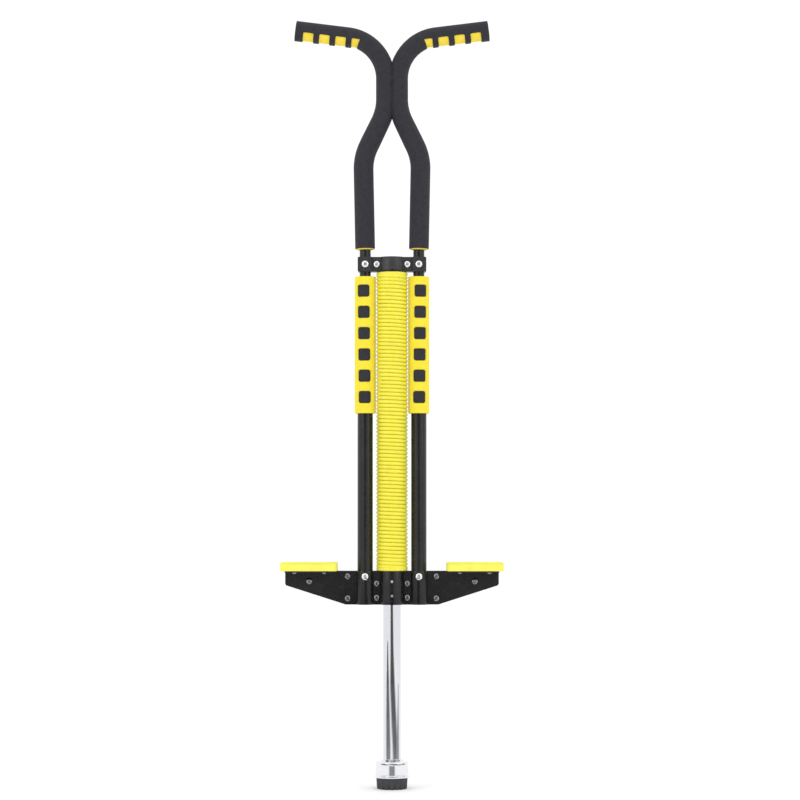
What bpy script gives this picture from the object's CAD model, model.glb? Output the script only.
"""Looks of the pogo stick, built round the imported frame. +Z is up and the front is -Y.
Points and sizes are in millimetres until mesh_piece() turns them into Blender's metres."""

import math

import bmesh
import bpy
import numpy as np
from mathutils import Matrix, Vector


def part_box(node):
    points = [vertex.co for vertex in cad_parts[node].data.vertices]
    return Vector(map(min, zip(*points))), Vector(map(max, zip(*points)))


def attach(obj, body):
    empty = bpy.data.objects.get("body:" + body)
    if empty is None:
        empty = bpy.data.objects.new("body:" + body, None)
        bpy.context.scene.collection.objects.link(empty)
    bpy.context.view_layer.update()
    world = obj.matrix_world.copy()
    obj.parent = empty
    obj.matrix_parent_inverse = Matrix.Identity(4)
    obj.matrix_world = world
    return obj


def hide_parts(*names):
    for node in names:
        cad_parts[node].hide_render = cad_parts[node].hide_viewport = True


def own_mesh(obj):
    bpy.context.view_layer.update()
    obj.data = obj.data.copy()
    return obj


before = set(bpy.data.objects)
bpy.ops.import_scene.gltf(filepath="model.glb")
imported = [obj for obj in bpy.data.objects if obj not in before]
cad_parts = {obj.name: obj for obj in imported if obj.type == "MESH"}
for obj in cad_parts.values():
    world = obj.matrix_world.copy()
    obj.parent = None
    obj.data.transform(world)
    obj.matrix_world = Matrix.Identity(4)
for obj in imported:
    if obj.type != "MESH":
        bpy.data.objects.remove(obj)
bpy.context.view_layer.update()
MM = 0.001
TAU = 2 * math.pi


def box_mm(node):
    """Lowest and highest corner of a CAD node, in millimetres."""
    low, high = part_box(node)
    return np.array(low) / MM, np.array(high) / MM


# ---------- sizes that the CAD boxes don't give ----------

SIDE_X = 38.2  # from the centre line to each side tube
PLATE_T = 2.0
SIDE_WALL = 1.5
PLUNGER_WALL = 2.0

# ---------- camera ----------

camera_data = bpy.data.cameras.new("camera")
camera_data.lens = 110.5
camera_data.shift_y = 0.0425
camera = bpy.data.objects.new("camera", camera_data)
camera.location = (0.0114, -3.5, 0.42)
camera.rotation_euler = (math.radians(91.37), 0, 0)
bpy.context.collection.objects.link(camera)
bpy.context.scene.camera = camera
bpy.context.scene.view_settings.view_transform = "Standard"


# ---------- materials ----------

WORN_WIDTH = 0.9
WORN_STEEL = (0.05, 0.05, 0.055)


class Recipe:
    """A Principled material whose textures are laid out in millimetres of object space."""

    def __init__(self, name, color, roughness, metallic=0.0):
        self.material = bpy.data.materials.new(name)
        self.material.use_nodes = True
        self.tree = self.material.node_tree
        self.shader = self.tree.nodes["Principled BSDF"]
        self.color = (*color, 1.0)
        self.set("Base Color", self.color).set("Roughness", roughness).set("Metallic", metallic)
        coords = self.tree.nodes.new("ShaderNodeTexCoord")
        self.scaling = self.tree.nodes.new("ShaderNodeMapping")
        self.scaling.inputs["Scale"].default_value = (1 / MM, 1 / MM, 1 / MM)
        self.tree.links.new(coords.outputs["Object"], self.scaling.inputs["Vector"])
        self.normal = None

    def set(self, socket, value):
        """Sets a constant on the shader's own socket."""
        self.shader.inputs[socket].default_value = value
        return self

    def noise(self, size, detail=2.0, stretch=(1, 1, 1)):
        """A noise texture whose blotches are about `size` millimetres across."""
        squeeze = self.tree.nodes.new("ShaderNodeMapping")
        squeeze.inputs["Scale"].default_value = stretch
        self.tree.links.new(self.scaling.outputs["Vector"], squeeze.inputs["Vector"])
        node = self.tree.nodes.new("ShaderNodeTexNoise")
        node.inputs["Scale"].default_value = 1 / size
        node.inputs["Detail"].default_value = detail
        self.tree.links.new(squeeze.outputs["Vector"], node.inputs["Vector"])
        return node.outputs["Fac"]

    def cells(self, size):
        """Round cells about `size` millimetres across."""
        node = self.tree.nodes.new("ShaderNodeTexVoronoi")
        node.inputs["Scale"].default_value = 1 / size
        self.tree.links.new(self.scaling.outputs["Vector"], node.inputs["Vector"])
        return node.outputs["Distance"]

    def spread(self, source, low, high, to_low=0.0, to_high=1.0):
        """Maps low to to_low and high to to_high, and holds the values beyond them."""
        node = self.tree.nodes.new("ShaderNodeMapRange")
        for socket, value in zip(("From Min", "From Max", "To Min", "To Max"), (low, high, to_low, to_high)):
            node.inputs[socket].default_value = value
        self.tree.links.new(source, node.inputs["Value"])
        return node.outputs["Result"]

    def mottle(self, other, factor):
        """Blends the base colour so far with another one, by a texture from 0 to 1."""
        mix = self.tree.nodes.new("ShaderNodeMix")
        mix.data_type = "RGBA"
        colors = [s for s in mix.inputs if s.type == "RGBA"]
        base = self.shader.inputs["Base Color"]
        if base.is_linked:
            self.tree.links.new(base.links[0].from_socket, colors[0])
        else:
            colors[0].default_value = self.color
        colors[1].default_value = (*other, 1.0)
        self.tree.links.new(factor, mix.inputs[0])
        self.tree.links.new([s for s in mix.outputs if s.type == "RGBA"][0], base)
        return self

    def rough(self, source, low, high):
        """Roughness that varies with the texture."""
        self.tree.links.new(self.spread(source, 0.3, 0.7, low, high), self.shader.inputs["Roughness"])
        return self

    def bump(self, source, height, strength=1.0):
        """Relief of `height` millimetres, on top of what is there."""
        node = self.tree.nodes.new("ShaderNodeBump")
        node.inputs["Strength"].default_value = strength
        node.inputs["Distance"].default_value = height * MM
        self.tree.links.new(source, node.inputs["Height"])
        if self.normal is not None:
            self.tree.links.new(self.normal, node.inputs["Normal"])
        self.normal = node.outputs["Normal"]
        self.tree.links.new(self.normal, self.shader.inputs["Normal"])
        return self

    def worn_edges(self, other, amount):
        """A second colour along the edges, where a rounded normal leaves the surface's own."""
        rounded = self.tree.nodes.new("ShaderNodeBevel")
        rounded.samples = 4
        rounded.inputs["Radius"].default_value = WORN_WIDTH * MM
        geometry = self.tree.nodes.new("ShaderNodeNewGeometry")
        turn = self.tree.nodes.new("ShaderNodeVectorMath")
        turn.operation = "DOT_PRODUCT"
        self.tree.links.new(rounded.outputs["Normal"], turn.inputs[0])
        self.tree.links.new(geometry.outputs["Normal"], turn.inputs[1])
        return self.mottle(other, self.spread(turn.outputs["Value"], 0.99, 0.9, 0, amount))


def foam(name, color, dark, light):
    """Closed-cell foam: matt, faintly mottled, with fine cells in its skin."""
    recipe = Recipe(name, color, 0.88)
    recipe.set("Sheen Weight", 0.06).set("Sheen Roughness", 0.5).set("Specular IOR Level", 0.25)
    recipe.mottle(dark, recipe.spread(recipe.noise(7, 3), 0.42, 0.72))
    recipe.mottle(light, recipe.spread(recipe.noise(0.6, 2), 0.5, 0.8))
    recipe.rough(recipe.noise(2.5, 3), 0.8, 0.95)
    recipe.bump(recipe.cells(0.6), 0.08, 0.6)
    recipe.bump(recipe.noise(1.8, 3), 0.15, 0.35)
    return recipe.material


def painted(name, color, roughness, peel, specular=0.28):
    """Painted steel: smooth semi-gloss with a faint orange peel and a few dull patches."""
    recipe = Recipe(name, color, roughness)
    recipe.set("Specular IOR Level", specular)
    recipe.mottle([c * 1.8 + 0.001 for c in color], recipe.spread(recipe.noise(14, 4), 0.5, 0.8))
    recipe.rough(recipe.noise(5, 4), roughness - 0.05, roughness + 0.08)
    recipe.bump(recipe.noise(0.9, 2), peel, 0.5)
    recipe.worn_edges(WORN_STEEL, 0.4)
    return recipe.material


def plated(name, color, roughness, stretch=(1, 1, 1)):
    """Bright plated metal with faint handling marks."""
    recipe = Recipe(name, color, roughness, 1.0)
    recipe.rough(recipe.noise(9, 5), roughness * 0.7, roughness * 1.5)
    recipe.bump(recipe.noise(0.6, 3, stretch), 0.004, 0.35)
    return recipe.material


def moulded(name, color, roughness, grain, relief, coat=0.0):
    """Moulded plastic or rubber with a fine grain."""
    recipe = Recipe(name, color, roughness)
    recipe.set("Coat Weight", coat).set("Coat Roughness", 0.12)
    recipe.mottle([c * 0.93 for c in color], recipe.spread(recipe.noise(11, 3), 0.45, 0.75))
    recipe.rough(recipe.noise(4, 3), roughness - 0.07, roughness + 0.07)
    recipe.bump(recipe.noise(grain, 2), relief, 0.5)
    return recipe.material


MATERIALS = {
    "foam_black": foam("foam_black", (0.029, 0.0285, 0.035), (0.022, 0.0215, 0.027), (0.045, 0.044, 0.052)),
    "foam_yellow": foam("foam_yellow", (0.88, 0.68, 0.06), (0.8, 0.6, 0.04), (0.93, 0.78, 0.14)),
    "sleeve_yellow": foam("sleeve_yellow", (0.88, 0.73, 0.042), (0.84, 0.68, 0.034), (0.92, 0.81, 0.09)),
    "tube_black": painted("tube_black", (0.008, 0.008, 0.009), 0.22, 0.01, 0.4),
    "plate_black": painted("plate_black", (0.006, 0.006, 0.007), 0.26, 0.008, 0.4),
    "clamp_black": painted("clamp_black", (0.028, 0.028, 0.031), 0.36, 0.03, 0.45),
    "bolt_black": plated("bolt_black", (0.26, 0.26, 0.28), 0.13),
    "bright_steel": plated("bright_steel", (0.87, 0.87, 0.89), 0.18),
    "spring_steel": plated("spring_steel", (0.42, 0.42, 0.44), 0.35),
    "chrome": plated("chrome", (0.74, 0.75, 0.79), 0.06, (1, 1, 0.1)),
    "rubber_black": moulded("rubber_black", (0.045, 0.045, 0.05), 0.72, 0.4, 0.03),
    "pad_yellow": moulded("pad_yellow", (0.93, 0.87, 0.11), 0.62, 0.5, 0.04),
    "coil_yellow": moulded("coil_yellow", (0.87, 0.8, 0.055), 0.34, 1.2, 0.01, coat=0.2),
    "black_plastic": moulded("black_plastic", (0.02, 0.02, 0.022), 0.5, 0.3, 0.02),
    "bush_nylon": moulded("bush_nylon", (0.07, 0.07, 0.07), 0.45, 0.8, 0.01),
}


# ---------- mesh helpers ----------


def close_mesh(piece, sharp_angle):
    """Turns every face outward and smooths the piece, except at sharp edges."""
    mesh = piece.data
    work = bmesh.new()
    work.from_mesh(mesh)
    bmesh.ops.recalc_face_normals(work, faces=work.faces)
    work.to_mesh(mesh)
    work.free()
    mesh.shade_smooth()
    mesh.set_sharp_from_angle(angle=math.radians(sharp_angle))


def place(piece, slot, nodes, body="frame"):
    """Gives a new piece its finish, its body and the CAD nodes that it stands for."""
    piece.data.materials.clear()
    piece.data.materials.append(MATERIALS[slot])
    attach(piece, body)
    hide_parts(*nodes)
    return piece


def mesh_piece(name, points, faces, slot, nodes, body="frame", sharp_angle=38):
    """A closed piece from points in millimetres, placed on its body."""
    mesh = bpy.data.meshes.new(name)
    mesh.from_pydata((np.asarray(points, float) * MM).tolist(), [], faces)
    piece = bpy.data.objects.new(name, mesh)
    bpy.context.collection.objects.link(piece)
    close_mesh(piece, sharp_angle)
    return place(piece, slot, nodes, body)


def joined(parts):
    """One list of points and one of faces from several (points, faces) pairs."""
    points, faces, start = [], [], 0
    for part_points, part_faces in parts:
        points.append(np.asarray(part_points, float).reshape(-1, 3))
        faces += [[i + start for i in face] for face in part_faces]
        start += len(points[-1])
    return np.concatenate(points), faces


def mirrored(points, faces):
    """The same mesh on the other side of the centre plane."""
    return points * [-1, 1, 1], [face[::-1] for face in faces]


def both_sides(*pieces, soft=False):
    """Right and left pieces from (name, shape, slot, node) rows that describe the right one."""
    for side in ("right", "left"):
        for name, shape, slot, node in pieces:
            shape = shape if side == "right" else mirrored(*shape)
            piece = mesh_piece(f"{name}_{side}", *shape, slot, [f"{node}_{side}"])


def circle(radius, turn, height, centre_x=0.0):
    """One level ring of points. radius may differ from point to point."""
    return np.stack([centre_x + radius * np.cos(turn), radius * np.sin(turn), height + 0 * turn], 1)


def grid(rows, cols, closed=False):
    """Quads over rings of points. closed joins the last ring to the first."""
    i, j = np.meshgrid(np.arange(rows if closed else rows - 1), np.arange(cols), indexing="ij")
    i, j = i.ravel(), j.ravel()
    up, on = (i + 1) % rows, (j + 1) % cols
    return np.stack([i * cols + j, i * cols + on, up * cols + on, up * cols + j], 1).tolist()


def capped(rows, cols):
    """Quads over rings of points, with a flat face over each end."""
    last = (rows - 1) * cols
    return grid(rows, cols) + [list(range(cols))[::-1], [last + k for k in range(cols)]]


def fillets(corners, closed=True, step=15):
    """A polyline through (x, y, fillet radius) corners, with an arc at each fillet."""
    line = []
    for k, (x, y, radius) in enumerate(corners):
        here = np.array([x, y], float)
        if radius <= 0 or (not closed and k in (0, len(corners) - 1)):
            line.append(here)
            continue
        back = np.array(corners[k - 1][:2], float) - here
        ahead = np.array(corners[(k + 1) % len(corners)][:2], float) - here
        back, ahead = back / np.linalg.norm(back), ahead / np.linalg.norm(ahead)
        half = math.acos(np.clip(back @ ahead, -1, 1)) / 2
        middle = (back + ahead) / np.linalg.norm(back + ahead)
        centre = here + middle * radius / math.sin(half)
        first = here + back * radius / math.tan(half) - centre
        last = here + ahead * radius / math.tan(half) - centre
        turn = math.atan2(first[0] * last[1] - first[1] * last[0], first @ last)
        for t in np.linspace(0, turn, max(2, math.ceil(abs(math.degrees(turn)) / step)) + 1):
            c, s = math.cos(t), math.sin(t)
            line.append(centre + [c * first[0] - s * first[1], s * first[0] + c * first[1]])
    return np.array(line)


def turned(corners, centre=(0, 0), segments=96):
    """Points and faces of a closed (radius, height, fillet) outline turned about a vertical axis."""
    profile = fillets(corners)
    turn = np.linspace(0, TAU, segments, endpoint=False)
    x = centre[0] + profile[:, :1] * np.cos(turn)
    y = centre[1] + profile[:, :1] * np.sin(turn)
    z = np.repeat(profile[:, 1:], segments, 1)
    return np.stack([x, y, z], -1).reshape(-1, 3), grid(len(profile), segments, closed=True)


def wound(radius, wire, heights, steps, sides, hand, start=0.0):
    """Points and faces of a cord wound about the Z axis. heights is its centre's height at each step."""
    count = len(heights)
    angle = start + hand * TAU * np.arange(count) / steps
    out = np.stack([np.cos(angle), np.sin(angle), np.zeros(count)], 1)
    along = np.stack([-np.sin(angle), np.cos(angle), np.zeros(count)], 1) * hand
    slope = np.arctan(np.gradient(heights) * steps / (TAU * radius))[:, None]
    up = np.array([0, 0, 1]) * np.cos(slope) - along * np.sin(slope)
    centre = out * radius + np.outer(heights, [0, 0, 1])
    turn = np.linspace(0, TAU, sides, endpoint=False)[None, :, None]
    points = centre[:, None] + wire / 2 * (out[:, None] * np.cos(turn) + up[:, None] * np.sin(turn))
    return points.reshape(-1, 3), capped(count, sides)


def smooth_step(value):
    """From 0 to 1 as value goes from 0 to 1, with level ends."""
    value = np.clip(value, 0, 1)
    return value * value * (3 - 2 * value)


def soft_floor(value, lowest, blend):
    """value, kept above `lowest` with a rounded turn."""
    return lowest + blend * np.logaddexp(0, (value - lowest) / blend)


WELD = 0.004
COPLANAR = math.radians(0.6)
SHARP = math.radians(33)
SAME_PLANE = math.cos(math.radians(0.3))
WIDE = 3.0  # the least area of a wide face, divided by its longest edge


def flat_faces(work):
    """Indices of the wide flat faces and of the slivers that continue them."""
    work.normal_update()
    work.faces.index_update()
    waiting = [f for f in work.faces if f.calc_area() > WIDE * MM * max(e.calc_length() for e in f.edges)]
    found = set(waiting)
    while waiting:
        face = waiting.pop()
        for other in {f for edge in face.edges for f in edge.link_faces} - found:
            if other.normal.dot(face.normal) > SAME_PLANE:
                found.add(other)
                waiting.append(other)
    return [face.index for face in found]


def finished_cad(node, slot, bevel):
    """The CAD node's own shape with its sharp edges broken. Wide flat faces are shaded flat."""
    work = bmesh.new()
    work.from_mesh(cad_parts[node].data)
    bmesh.ops.remove_doubles(work, verts=work.verts, dist=WELD * MM)
    bmesh.ops.dissolve_limit(work, angle_limit=COPLANAR, verts=work.verts, edges=work.edges)
    edges = [e for e in work.edges if len(e.link_faces) == 2 and e.calc_face_angle(0) > SHARP]
    look = {"segments": 2, "profile": 0.5, "affect": "EDGES", "clamp_overlap": True}
    bmesh.ops.bevel(work, geom=edges, offset=bevel * MM, **look)
    flat = flat_faces(work)
    mesh = bpy.data.meshes.new(node + "_finish")
    work.to_mesh(mesh)
    work.free()
    piece = bpy.data.objects.new(node + "_finish", mesh)
    bpy.context.collection.objects.link(piece)
    close_mesh(piece, 35)
    for index in flat:
        mesh.polygons[index].use_smooth = False
    place(piece, slot, [node])


# ---------- coil cover and spring ----------

COIL_TURNS = 78.75
COIL_FLAT = 0.75  # turns at each end that lie flat
COIL_START = math.radians(45)


def make_coil_cover():
    """A left-handed cord whose first and last turns lie flat across the front."""
    low, high = box_mm("coil_cover")
    cord, steps, tight_turns, tight_pitch = 5.35, 72, 3, 0.95
    bottom, top = low[2] + cord / 2, high[2] - cord / 2
    tight = COIL_FLAT + tight_turns
    rise = tight_turns * cord * tight_pitch
    turn = np.arange(round(COIL_TURNS * steps) + 1) / steps
    heights = np.interp(
        turn,
        [0, COIL_FLAT, tight, COIL_TURNS - tight, COIL_TURNS - COIL_FLAT, COIL_TURNS],
        [bottom, bottom, bottom + rise, top - rise, top, top],
    )
    shape = wound(high[0] - cord / 2, cord, heights, steps, 14, -1, COIL_START)
    mesh_piece("coil_cord", *shape, "coil_yellow", ["coil_cover"], sharp_angle=60)


def make_main_spring():
    """The main spring, with closed end turns. It shortens as the plunger goes up."""
    low, high = box_mm("main_spring")
    wire, turns, closed, steps = 4.5, 42, 1.5, 32
    bottom, top = low[2] + wire / 2, high[2] - wire / 2
    rise = closed * (wire + 0.05)
    turn = np.arange(turns * steps + 1) / steps
    heights = np.interp(turn, [0, closed, turns - closed, turns], [bottom, bottom + rise, top - rise, top])
    shape = wound(high[0] - wire / 2, wire, heights, steps, 12, 1)
    piece = mesh_piece("spring_wire", *shape, "spring_steel", ["main_spring"], sharp_angle=60)
    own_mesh(piece)


# ---------- handles ----------

SPLAY = math.radians(1.15)
LEAN = math.radians(25.8)
GRIP_TURN = math.radians(83)
SPLAY_BEND = 150.0
S_BEND = 75.0
GRIP_BEND = 60.8
NECK_X = 9.4
LEAN_Z = 881.4
NECK_TOP = 1012.1
GRIP_LEN = 75.6
FOAM_GAP = 6.5
LOWER_R = 14.2
GRIP_R = 13.5
CORE_R = 11.6
UNDERSIDE = 15.6
CORE_UNDERSIDE = 14.1
TUBE_R = 8.0
FINGER_DEPTH = 3.5
FINGER_WIDTH = 15.0
FINGER_PITCH = 23.25
FINGER_FIRST = 2.4
FINGER_CORNER = 2.0
FINGER_INSET = 2.8
FINGER_REACH = 30.0  # how far below the grip the windows may reach
BEND_WINDOW = (-19.5, -5.8)  # the window next to the bend, along the grip
BEND_WINDOW_SIDE = 17.8  # where its slanted side starts
BEND_WINDOW_SLANT = math.atan2(4.8, 16.5)
DROP_REACH = math.radians(25)  # how far round the last bend the underside is deepened
FULLER = 0.15  # how much wider the foam is on the lean
RIM_TURN = np.linspace(0, math.pi / 2, 5)  # directions round a broken edge


class HandlePath:
    """The right handle's centre line, from the lower end of the foam to the end of the grip."""

    def __init__(self):
        clamp_top = box_mm("upper_clamp_front")[1][2]
        x = SIDE_X + SPLAY_BEND * (1 - math.cos(SPLAY)) + FOAM_GAP * math.sin(SPLAY)
        z = clamp_top + 1 + SPLAY_BEND * math.sin(SPLAY) + FOAM_GAP * math.cos(SPLAY)
        rise = (LEAN_Z - z) / math.cos(SPLAY)
        across = x + rise * math.sin(SPLAY) - NECK_X + S_BEND * (2 * math.cos(LEAN) - math.cos(SPLAY) - 1)
        lean_run = across / math.sin(LEAN)
        neck_low = LEAN_Z + S_BEND * (math.sin(SPLAY) + 2 * math.sin(LEAN)) + lean_run * math.cos(LEAN)
        # each leg is a length and a turn towards +X, in radians per millimetre
        self.legs = [
            (rise, 0.0),
            (S_BEND * (SPLAY + LEAN), -1 / S_BEND),
            (lean_run, 0.0),
            (S_BEND * LEAN, 1 / S_BEND),
            (NECK_TOP - neck_low, 0.0),
            (GRIP_BEND * GRIP_TURN, 1 / GRIP_BEND),
            (GRIP_LEN, 0.0),
        ]
        self.start = (x, z, SPLAY)
        self.ends = np.cumsum([length for length, _ in self.legs])
        self.length = self.ends[-1]
        self.lean_start, self.neck_start, self.grip_start = self.ends[0], self.ends[3], self.ends[5]

    def at(self, distance):
        """x, z and the heading from +Z towards +X."""
        x, z, heading = self.start
        for k, (length, turn) in enumerate(self.legs):
            go = distance if k == len(self.legs) - 1 else min(distance, length)
            if turn:
                new = heading + turn * go
                x += (math.cos(heading) - math.cos(new)) / turn
                z += (math.sin(new) - math.sin(heading)) / turn
                heading = new
            else:
                x += go * math.sin(heading)
                z += go * math.cos(heading)
            distance -= go
            if distance <= 0:
                break
        return x, z, heading


path = HandlePath()
GRIP_X, GRIP_Z, GRIP_HEADING = path.at(path.grip_start)


def cover_radius(distance):
    """Outer radius of the black foam: a little fuller on the lean, slimmer from the neck on."""
    stops = [0, path.lean_start, path.lean_start + 40, path.neck_start]
    return float(np.interp(distance, stops, [LOWER_R, LOWER_R, LOWER_R + FULLER, GRIP_R]))


def underside_drop(distance, radius, depth):
    """How far the underside is let down, so that it runs on a straight line below the grip."""
    back = min(max((path.grip_start - distance) / GRIP_BEND, 0), DROP_REACH)
    return max(0.0, (depth - GRIP_BEND * (1 - math.cos(back))) / math.cos(back) - radius)


def window_distance(along, down):
    """Distance to the nearest finger window in the grip's own plane, below zero inside."""

    def slot_distance(first, last):
        a = np.abs(along - (first + last) / 2) - (last - first) / 2 + FINGER_CORNER
        b = FINGER_DEPTH + FINGER_CORNER - down
        outside = np.hypot(np.maximum(a, 0), np.maximum(b, 0))
        return outside + np.minimum(np.maximum(a, b), 0) - FINGER_CORNER

    # the window next to the bend has a slanted side
    side = (down - FINGER_DEPTH) * math.sin(BEND_WINDOW_SLANT)
    side = side - (along + BEND_WINDOW_SIDE) * math.cos(BEND_WINDOW_SLANT)
    nearest = np.maximum(slot_distance(*BEND_WINDOW), side)
    for k in range(3):
        first = FINGER_FIRST + k * FINGER_PITCH
        nearest = np.minimum(nearest, slot_distance(first, first + FINGER_WIDTH))
    return nearest


def ring_round(distance, radius, depth, floor_x, sides, windows):
    """One ring of points round the handle's centre line."""
    turn = np.linspace(0, TAU, sides, endpoint=False)
    x, z, heading = path.at(distance)
    drop = underside_drop(distance, radius, depth)
    out = radius * np.cos(turn) + drop * (0.5 + 0.5 * np.tanh(np.cos(turn) / 0.3))
    side = radius * np.sin(turn)
    if windows and distance > path.grip_start - FINGER_REACH:
        dx = x + out * math.cos(heading) - GRIP_X
        dz = z - out * math.sin(heading) - GRIP_Z
        along = dx * math.sin(GRIP_HEADING) + dz * math.cos(GRIP_HEADING)
        down = dx * math.cos(GRIP_HEADING) - dz * math.sin(GRIP_HEADING)
        inset = FINGER_INSET * smooth_step((0.4 - window_distance(along, down)) / 0.9)
        out, side = out - inset * np.cos(turn), side - inset * np.sin(turn)
    world_x = soft_floor(x + out * math.cos(heading), floor_x, 0.3)
    return np.stack([world_x, side, z - out * math.sin(heading)], 1)


def rounded_rim(end, radius, fillet, inward):
    """(distance, radius) pairs round the outer edge of a foam end."""
    along = end + inward * fillet * (1 - np.cos(RIM_TURN))
    return list(zip(along, radius - fillet * (1 - np.sin(RIM_TURN))))


def stations(start, stop, grip_step):
    """Distances along the handle: fine in the grip, wider apart below it."""
    fine_from = path.grip_start - FINGER_REACH
    return np.concatenate([np.arange(start, fine_from, 2.5), np.arange(fine_from, stop, grip_step)])


def foam_tube(ends, outer, inner, depths, floors, sides, fillet, grip_step, windows=False):
    """Points and faces of a hollow foam tube along the right handle. outer and inner give the two radii
    at a distance. depths and floors hold one value for the outside and one for the bore: how deep the
    underside hangs below the centre line, and the lowest x."""
    start, stop = ends
    first = rounded_rim(start, outer(start), fillet, 1)
    last = rounded_rim(stop, outer(stop), fillet, -1)[::-1]
    middle = [(d, outer(d)) for d in stations(start, stop, grip_step) if start + fillet < d < stop - fillet]
    rings = [ring_round(d, r, depths[0], floors[0], sides, windows) for d, r in first + middle + last]
    bore = stations(start, stop, 4)
    bore = np.concatenate([bore[bore < stop - 1], [stop]])[::-1]
    rings += [ring_round(d, inner(d), depths[1], floors[1], sides, False) for d in bore]
    return np.concatenate(rings), grid(len(rings), sides, closed=True)


def make_handle_foams():
    """The black covers, and the yellow layer that shows in their windows and at their lower ends."""
    hidden, bore = CORE_R - 1.3, TUBE_R + 0.1

    def flared(low_radius, radius):
        return lambda distance: float(np.interp(distance, [0, 14, 30], [low_radius, low_radius, radius]))

    cover_ends, core_ends = (1.7, path.length), (0.3, path.length - 0.4)
    cover = foam_tube(
        cover_ends, cover_radius, flared(12.85, hidden), (UNDERSIDE, hidden), (-1.2, 0.6), 180, 0.7, 0.4,
        windows=True,
    )
    core = foam_tube(
        core_ends, flared(12.75, CORE_R), lambda _: bore, (CORE_UNDERSIDE, bore), (0.9, 1.3), 96, 0.4, 1.0
    )
    both_sides(
        ("handle_cover", cover, "foam_black", "handle_foam"),
        ("handle_core", core, "foam_yellow", "foam_core"),
        soft=True,
    )


def make_grip_plugs():
    """Domed plugs in the grips' open ends."""
    r = TUBE_R - 0.1
    outline = fillets([(0, 1.0, 0), (r, 0.7, 0.6), (r, -4, 0), (0, -4, 0)], closed=False)
    turn = np.linspace(0, TAU, 48, endpoint=False)
    rings = []
    for radius, height in outline:
        along = GRIP_LEN + height - 0.4
        down, side = max(radius, 0.01) * np.cos(turn), radius * np.sin(turn)
        x = GRIP_X + along * math.sin(GRIP_HEADING) + down * math.cos(GRIP_HEADING)
        z = GRIP_Z + along * math.cos(GRIP_HEADING) - down * math.sin(GRIP_HEADING)
        rings.append(np.stack([x, side, z], 1))
    shape = np.concatenate(rings), capped(len(rings), len(turn))
    both_sides(("grip_cap", shape, "black_plastic", "grip_plug"))


# ---------- side tubes and sleeves ----------

WINDOWS = 6
WINDOW = 17.0  # width and height
WINDOW_Z = 556.0  # the middle of the lowest window
WINDOW_PITCH = 30.3
WINDOW_TURN = 2.7  # degrees that the lowest window is turned round the tube
WINDOW_TWIST = 2.0  # degrees more for each window above it
WINDOW_CORNER = 3.0
WINDOW_RADIUS = 13.3  # the radius on which a window's width is laid out
WINDOW_EDGE = 0.9
WINDOW_INSET = 2.4
LINER_R = 13.0
FAR = 1e3  # a distance where no window is near


def sleeve_window_distance(turn, z):
    """Distance to the nearest window for each height and direction, below zero inside."""
    nearest = np.full((len(z), len(turn)), FAR)
    for k in range(WINDOWS):
        angle = turn + math.pi / 2 - math.radians(WINDOW_TURN + WINDOW_TWIST * k)
        across = np.where(np.cos(angle) > 0, np.abs(WINDOW_RADIUS * np.sin(angle)), FAR)[None, :]
        a = across - WINDOW / 2 + WINDOW_CORNER
        b = np.abs(z - WINDOW_Z - WINDOW_PITCH * k)[:, None] - WINDOW / 2 + WINDOW_CORNER
        inside = np.minimum(np.maximum(a, b), 0)
        outside = np.hypot(np.maximum(a, 0), np.maximum(b, 0))
        nearest = np.minimum(nearest, outside + inside - WINDOW_CORNER)
    return nearest


def make_side_sleeves():
    """Yellow foam sleeves with windows pressed in, round a black layer."""
    low, high = box_mm("side_sleeve_right")
    radius, fillet = high[0] - SIDE_X, 0.8
    turn = np.linspace(0, TAU, 200, endpoint=False)
    edge = fillet * (1 - np.cos(RIM_TURN))
    z = np.concatenate([low[2] + edge, np.arange(low[2] + 1.4, high[2] - 1.4, 0.5), (high[2] - edge)[::-1]])
    past_edge = np.clip(fillet - np.minimum(z - low[2], high[2] - z), 0, None)
    base = radius - fillet + np.sqrt(np.clip(fillet**2 - past_edge**2, 0, None))
    pressed = smooth_step((WINDOW_EDGE - sleeve_window_distance(turn, z)) / WINDOW_EDGE)
    skin = base[:, None] - WINDOW_INSET * pressed
    rings = [circle(r, turn, h, SIDE_X) for r, h in zip(skin, z)]
    lip, bore = LINER_R + 0.05, LINER_R - 1
    for h, r in ((high[2], lip), (high[2] - 2, bore), (low[2] + 2, bore), (low[2], lip)):
        rings.append(circle(r, turn, h, SIDE_X))
    cover = np.concatenate(rings), grid(len(rings), len(turn), closed=True)
    tube = box_mm("frame_tube_right")[1][0] - SIDE_X
    z0, z1 = low[2] + 0.4, high[2] - 0.4
    inner = turned([(LINER_R, z0, 0.5), (LINER_R, z1, 0.5), (tube, z1, 0), (tube, z0, 0)], (SIDE_X, 0))
    both_sides(
        ("sleeve_skin", cover, "sleeve_yellow", "side_sleeve"),
        ("sleeve_layer", inner, "foam_black", "sleeve_liner"),
        soft=True,
    )


def tube_outline(r, z0, z1, wall, lower_edge, bore_edge):
    """Outline of a tube with broken edges. The points just inside its ends keep the shading of the
    long straight side free of their rounding."""
    outside = [(r, z0, lower_edge), (r, z0 + 2, 0), (r, z1 - 2, 0), (r, z1, 0.5)]
    return outside + [(r - wall, z1, bore_edge), (r - wall, z0, bore_edge)]


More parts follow.
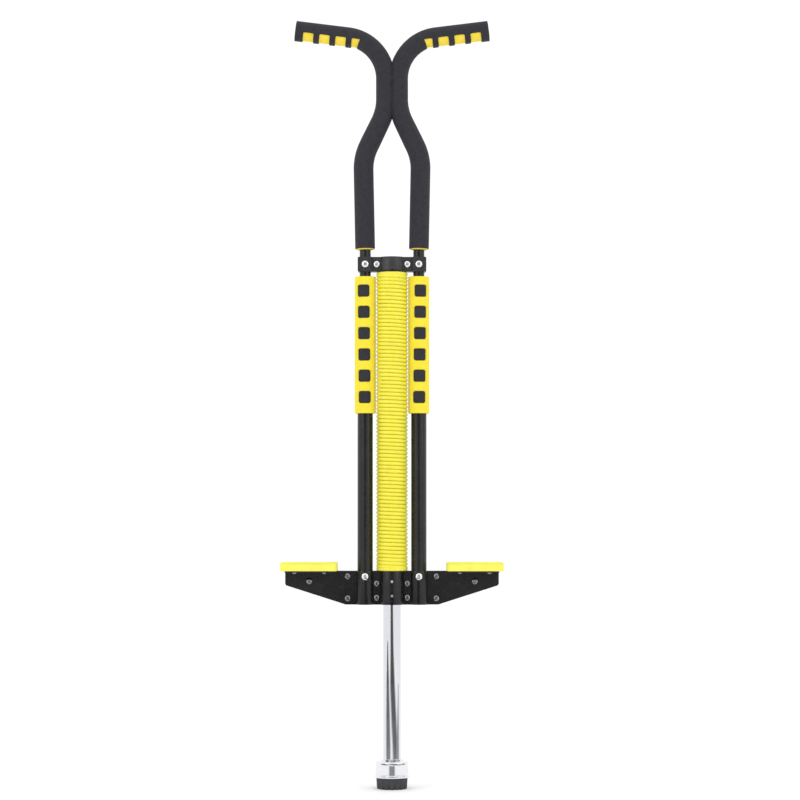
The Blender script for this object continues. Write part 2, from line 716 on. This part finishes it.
def make_tubes():
    """The side tubes and the plunger."""
    for side, sign in (("right", 1), ("left", -1)):
        low, high = box_mm("frame_tube_" + side)
        r = (high[0] - low[0]) / 2
        shape = turned(tube_outline(r, low[2], high[2], SIDE_WALL, 0.4, 0.4), (sign * SIDE_X, 0))
        mesh_piece("side_tube_" + side, *shape, "tube_black", ["frame_tube_" + side])
    low, high = box_mm("plunger_tube")
    shape = turned(tube_outline(high[0], low[2], high[2], PLUNGER_WALL, 0.5, 0.5), segments=128)
    mesh_piece("plunger_shaft", *shape, "chrome", ["plunger_tube"], "plunger")


# ---------- foot ----------


def make_foot_pads():
    """Moulded pads with rounded edges and shallow grooves along the tread."""
    low, high = box_mm("foot_pad_right")
    corner, edge, margin, depth, wave = 6.0, 2.2, 2.5, 1.0, 5.2
    half = (high - low)[:2] / 2
    middle = (low + high)[:2] / 2
    bottom, top = low[2], high[2]

    def outline(inset):
        r = max(corner - inset, 0.3)
        w, h = half - inset
        line = fillets([(w, -h, r), (w, h, r), (-w, h, r), (-w, -h, r)], step=9)
        return line + middle

    rows = [(0.8, bottom), (0.25, bottom + 0.2), (0, bottom + 0.8)]
    rows += [(edge * (1 - math.cos(a)), top - edge * (1 - math.sin(a))) for a in np.linspace(0, math.pi / 2, 7)]
    rings = []
    for inset, height in rows:
        line = outline(inset)
        rings.append(np.column_stack([line, np.full(len(line), height)]))
    count = len(rings[0])
    points = np.concatenate(rings)
    faces = grid(len(rings), count) + [list(range(count))[::-1]]
    # the tread: a grid inside the last ring, joined to it by a flat margin
    inner = outline(edge + margin)
    columns, lines = 41, 121
    xs = np.linspace(inner[:, 0].min(), inner[:, 0].max(), columns)
    ys = np.linspace(inner[:, 1].min(), inner[:, 1].max(), lines)
    gx, gy = np.meshgrid(xs, ys, indexing="ij")
    inset_x = np.minimum(gx - xs[0], xs[-1] - gx)
    inset_y = np.minimum(gy - ys[0], ys[-1] - gy)
    groove = smooth_step((np.cos((gy - middle[1]) * TAU / wave + math.pi) - 0.35) / 0.5)
    groove = groove * smooth_step((np.minimum(inset_x, inset_y) - 1.2) / 1.6)
    tread = np.stack([gx, gy, top - depth * groove], -1).reshape(-1, 3)
    number = len(points) + np.arange(columns * lines).reshape(columns, lines)
    quads = np.stack([number[:-1, :-1], number[1:, :-1], number[1:, 1:], number[:-1, 1:]], -1)
    faces += quads.reshape(-1, 4).tolist()
    border = np.concatenate([number[:, 0], number[-1, 1:], number[-2::-1, -1], number[0, -2:0:-1]]).tolist()
    points = np.concatenate([points, tread])
    rim = [(len(rows) - 1) * count + k for k in range(count)]
    faces += bridge(points, rim, border, middle)
    both_sides(("pad_tread", (points, faces), "pad_yellow", "foot_pad"), soft=True)


def bridge(points, outer, inner, middle):
    """Triangles between two loops that go the same way round the middle."""

    def angles(loop):
        offset = points[loop][:, :2] - middle
        return np.arctan2(offset[:, 1], offset[:, 0])

    def sorted_loop(loop):
        angle = angles(loop)
        order = np.argsort(angle)
        return [loop[k] for k in order], angle[order]

    a, angle_a = sorted_loop(outer)
    b, angle_b = sorted_loop(inner)
    faces, i, j = [], 0, 0
    while i < len(a) or j < len(b):
        next_a = angle_a[i] if i < len(a) else math.inf
        next_b = angle_b[j] if j < len(b) else math.inf
        here_a, here_b = a[i - 1], b[j - 1]
        if next_a < next_b:
            faces.append([here_a, a[i], here_b])
            i += 1
        else:
            faces.append([here_a, b[j], here_b])
            j += 1
    return faces


def make_ferrule():
    """The ferrule on the plunger's lower end: a bead, a rounded shoulder and a neck."""
    low, high = box_mm("ferrule")
    r, z0, z1, inner = high[0] - 1.5, low[2], high[2], 12.5
    shoulder = z0 + 24
    outline = [
        (r + 1.5, z0 + 0.2, 1.6), (r + 1.5, z0 + 4, 1.6), (r, z0 + 4.4, 0.6), (r, z0 + 6, 0),
        (r, shoulder - 4.6, 0), (r, shoulder - 0.2, 3.6), (r - 6, shoulder, 1.2),
        (r - 7.2, shoulder - 1.4, 1.0), (inner + 1.8, shoulder - 0.8, 1.0), (inner + 1.8, z1, 0.7),
        (inner + 0.1, z1, 0.3), (inner + 0.1, shoulder - 4, 0), (r - 1.4, shoulder - 4, 0),
        (r - 1.4, z0 + 0.2, 0.5),
    ]
    piece = mesh_piece("ferrule_cup", *turned(outline, segments=144), "chrome", ["ferrule"], "plunger")
    # its plating is paler than the tube's
    piece.data.materials[0] = plated("chrome_pale", (0.82, 0.83, 0.86), 0.06, (1, 1, 0.1))


TREADS = 16


def make_rubber_tip():
    """The rubber foot, with tread notches across its lower rim."""
    high = box_mm("rubber_tip")[1]
    ferrule_low = box_mm("ferrule")[0][2]
    r, inner = 21.3, high[0] - 0.5
    corners = [
        (0.05, 2.2, 0), (12, 2.2, 0.8), (13, 0, 0.6), (r, 0, 1.2), (r + 0.9, ferrule_low - 0.6, 0.4),
        (inner - 1.2, ferrule_low + 0.4, 0), (inner - 1.2, high[2], 0.6), (13, high[2], 0), (13, 24, 0),
        (0.05, 24, 0),
    ]
    segments = TREADS * 18
    turn = np.linspace(0, TAU, segments, endpoint=False)
    phase = np.abs((turn * TREADS / TAU) % 1 - 0.5) * 2
    notch = smooth_step((0.42 - phase) / 0.16)
    rings = []
    for radius, height in fillets(corners, closed=False):
        on_rim = smooth_step((radius - 14) / 2) * (1 - smooth_step((height - 1.2) / 1.8))
        z = height + 2.0 * notch * on_rim
        out = radius - 1.1 * notch * smooth_step((radius - 19) / 2) * (1 - smooth_step((height - 2.5) / 4))
        rings.append(circle(out, turn, z))
    shape = np.concatenate(rings), capped(len(rings), segments)
    mesh_piece("rubber_foot", *shape, "rubber_black", ["rubber_tip"], "plunger", sharp_angle=50)


# ---------- fasteners ----------

INNER_BOLT_X = 21.8
WING_BOLT_X = 63.0
TIP_BOLT_X = 117.7
TUBE_BOLT_UP = 40  # above the plates' lower edge
WEB_Y = 6.0
CLAMP_BLOCK_Y = 11.0
CLAMP_WEB_Y = 8.0
M6_R, M6_HEAD, M6_PAST = 3, 5.3, 7.5  # shank, head, and how far the end stands out behind
M5_R, M5_HEAD, M5_PAST = 2.5, 4.7, 7
HEAD_HEIGHT = 3.2


def button_bolt(x, z, seat, head_r, shank_r, reach):
    """A round-head bolt along +Y: dome, hex socket, shank and a thread that ends past the nut."""
    sides = 48
    turn = np.linspace(0, TAU, sides, endpoint=False)
    socket = head_r * 0.28
    hexagon = socket * math.cos(math.pi / 6) / np.cos((turn + math.pi / 6) % (math.pi / 3) - math.pi / 6)
    # each row is a radius, a place along the bolt, and whether it is a hexagon
    rows = [(0.05, -1.4, True), (socket, -1.3, True), (socket, -HEAD_HEIGHT + 0.15, True)]
    rows.append((socket + 0.25, -HEAD_HEIGHT, False))
    for share in np.linspace(0.15, 1, 8):
        angle = share * math.pi / 2
        out = socket + 0.25 + (head_r - socket - 0.35) * math.sin(angle)
        rows.append((out, -HEAD_HEIGHT + (HEAD_HEIGHT - 0.7) * (1 - math.cos(angle)), False))
    rows += [(head_r, -0.2, False), (head_r - 0.25, 0, False), (shank_r, 0, False)]
    pitch = shank_r / 3
    thread = reach - 8
    rows.append((shank_r, thread, False))
    while thread < reach - 1.2:
        rows.append((shank_r - 0.3, thread + pitch * 0.5, False))
        rows.append((shank_r, thread + pitch, False))
        thread += pitch
    rows += [(shank_r - 0.7, reach, False), (0.05, reach, False)]
    rings = []
    for radius, along, hexed in rows:
        r = np.minimum(hexagon, radius * 2) * (radius / socket) if hexed else radius
        rings.append(np.stack([x + r * np.cos(turn), seat + along + 0 * turn, z + r * np.sin(turn)], 1))
    return np.concatenate(rings), capped(len(rings), sides)


def make_bolts():
    """The bright bolts of the clamp and the side tubes, and the dark ones of the plates."""
    plate_low = box_mm("foot_plate_front")[0][2]
    clamp_low, clamp_high = box_mm("upper_clamp_front")
    clamp_z = (clamp_low[2] + clamp_high[2]) / 2
    seat = box_mm("frame_tube_right")[1][1] + PLATE_T
    tube_z = plate_low + TUBE_BOLT_UP
    clamp = []
    for side in (-1, 1):
        for x, y, head in ((SIDE_X, CLAMP_BLOCK_Y, M6_HEAD), (INNER_BOLT_X, CLAMP_WEB_Y, M6_HEAD - 0.3)):
            clamp.append(button_bolt(side * x, clamp_z, -y, head, M6_R, 2 * y + M6_PAST))
    mesh_piece("clamp_screws", *joined(clamp), "bright_steel", ["clamp_bolts"])
    tube = [button_bolt(s * SIDE_X, tube_z, -seat, M6_HEAD, M6_R, 2 * seat + M6_PAST) for s in (-1, 1)]
    mesh_piece("tube_screws", *joined(tube), "bright_steel", ["tube_bolts"])
    # x, height above the plates' lower edge, and the plate's front face
    places = [(INNER_BOLT_X, 30, WEB_Y), (INNER_BOLT_X, 10, WEB_Y)]
    places += [(WING_BOLT_X, 40, PLATE_T), (WING_BOLT_X, 9, PLATE_T), (TIP_BOLT_X, 33, PLATE_T)]
    plate = []
    for side in (-1, 1):
        for x, up, y in places:
            plate.append(button_bolt(side * x, plate_low + up, -y, M5_HEAD, M5_R, 2 * y + M5_PAST))
    mesh_piece("plate_screws", *joined(plate), "bolt_black", ["plate_bolts"])


# ---------- build ----------

make_coil_cover()
make_main_spring()
make_handle_foams()
make_grip_plugs()
make_side_sleeves()
make_tubes()
make_foot_pads()
make_ferrule()
make_rubber_tip()
make_bolts()
for end in ("front", "rear"):
    finished_cad("foot_plate_" + end, "plate_black", 0.5)
    finished_cad("upper_clamp_" + end, "clamp_black", 0.8)
for nuts in ("clamp_nuts", "tube_nuts", "plate_nuts"):
    finished_cad(nuts, "bright_steel", 0.35)
finished_cad("guide_screws", "bright_steel", 0.2)
finished_cad("top_plug", "black_plastic", 0.5)

CAD_FINISH = {
    "pad_screws": "bolt_black",
    "tube_plug_left": "black_plastic",
    "tube_plug_right": "black_plastic",
    "tube_bush_left": "black_plastic",
    "tube_bush_right": "black_plastic",
    "guide_tube": "tube_black",
    "guide_bush": "bush_nylon",
    "bumper": "rubber_black",
    "plug_pin": "bright_steel",
    "handle_tube_left": "tube_black",
    "handle_tube_right": "tube_black",
    "spring_seat": "bush_nylon",
    "stop_collar": "bright_steel",
    "collar_pin": "bright_steel",
    "plunger_plug": "bright_steel",
}
for node, slot in CAD_FINISH.items():
    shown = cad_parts[node]
    shown.data.materials.clear()
    shown.data.materials.append(MATERIALS[slot])


# ---------- stage and light ----------

FLOOR = 15.0  # half its side, in metres
floor_mesh = bpy.data.meshes.new("floor")
corners = [(-FLOOR, -FLOOR, 0), (FLOOR, -FLOOR, 0), (FLOOR, FLOOR, 0), (-FLOOR, FLOOR, 0)]
floor_mesh.from_pydata(corners, [], [(0, 1, 2, 3)])
floor = bpy.data.objects.new("floor", floor_mesh)
bpy.context.collection.objects.link(floor)
floor_paint = Recipe("floor_paint", (0.95, 0.95, 0.95), 0.9)
floor_paint.set("Specular IOR Level", 0.1)
floor_paint.mottle((0.97, 0.97, 0.97), floor_paint.spread(floor_paint.noise(120, 3), 0.4, 0.7))
floor_mesh.materials.append(floor_paint.material)


def card(name, points, faces, shades):
    """A card that only reflections show, for the metal, with one shade for each face."""
    mesh = bpy.data.meshes.new(name)
    mesh.from_pydata([tuple(p) for p in points], [], faces)
    item = bpy.data.objects.new(name, mesh)
    item.visible_camera = item.visible_diffuse = item.visible_shadow = False
    bpy.context.collection.objects.link(item)
    for k, (face, shade) in enumerate(zip(mesh.polygons, shades)):
        mesh.materials.append(Recipe(f"{name}_paint_{k}", (shade, shade, shade), 0.9).material)
        face.material_index = k


def ribbon(name, radius, darkest, stops):
    """A bent strip in front of the plunger that fades out to both sides. Each stop is the height in
    metres of the point of the plunger that shows it, its direction in degrees from the camera's side,
    and its half width. Darkest holds the shade of its middle at the first stop and at the last."""
    across = [-1.6, -1.2, -0.9, -0.5, 0.5, 0.9, 1.2, 1.6]
    points, faces, shades = [], [], []
    for seen_at, direction, width in stops:
        height = seen_at - radius * (camera.location.z - seen_at) / -camera.location.y
        for share in across:
            turn = math.radians(direction + share * width)
            points.append((radius * math.sin(turn), -radius * math.cos(turn), height))
    for row, dark in enumerate(np.linspace(*darkest, len(stops) - 1)):
        for k, shade in enumerate((0.6, 0.3, 0.1, 0.02, 0.1, 0.3, 0.6)):
            corner = row * len(across) + k
            faces.append((corner, corner + 1, corner + len(across) + 1, corner + len(across)))
            shades.append(max(dark, shade))
    card(name, points, faces, shades)


# what the plated metal reflects: a wall behind the camera, and ribbons close to the plunger
WALL = [(-1.0, -4.2, 0.1), (1.0, -4.2, 0.1), (1.0, -4.2, 2.0), (-1.0, -4.2, 2.0)]
MIDDLE = [(0.27, -3, 11), (0.2, 0, 14), (0.15, 6, 22), (0.1, 25, 24), (0.06, 44, 25), (0.042, 47, 24)]
LEFT = [(0.21, -57, 4), (0.15, -57, 13), (0.1, -53, 19), (0.06, -50, 21), (0.042, -49, 20)]
RIGHT = [(0.15, 88, 3), (0.1, 84, 8), (0.06, 82, 12), (0.042, 82, 12)]
card("dark_wall", WALL, [(0, 1, 2, 3)], [0.02])
ribbon("dark_middle", 0.25, (0.05, 0.2), MIDDLE)
ribbon("dark_left", 0.25, (0.12, 0.26), LEFT)
ribbon("grey_right", 0.2, (0.35, 0.3), RIGHT)
ribbon("grey_foot", 0.1, (0.3, 0.3), [(0.037, 0, 12), (0.022, 0, 12)])


def soft_light(name, location, target, size, power):
    light = bpy.data.lights.new(name, "AREA")
    light.shape = "RECTANGLE"
    light.size, light.size_y = size
    light.energy = power
    item = bpy.data.objects.new(name, light)
    item.location = location
    direction = np.array(target, float) - np.array(location, float)
    item.rotation_euler = (
        math.atan2(math.hypot(direction[0], direction[1]), -direction[2]),
        0,
        math.atan2(direction[0], -direction[1]) + math.pi,
    )
    bpy.context.collection.objects.link(item)


soft_light("key_left", (-1.7, -1.6, 1.5), (0, 0, 0.55), (0.25, 1.8), 5)
soft_light("key_right", (1.8, -1.5, 1.4), (0, 0, 0.55), (0.25, 1.8), 4)
soft_light("top", (0, -0.2, 2.6), (0, 0, 0.5), (2.0, 2.0), 2)

world = bpy.data.worlds.new("studio")
bpy.context.scene.world = world
world.use_nodes = True
world.node_tree.nodes["Background"].inputs["Color"].default_value = (1, 1, 1, 1)
world.node_tree.nodes["Background"].inputs["Strength"].default_value = 1.06

bpy.context.view_layer.update()
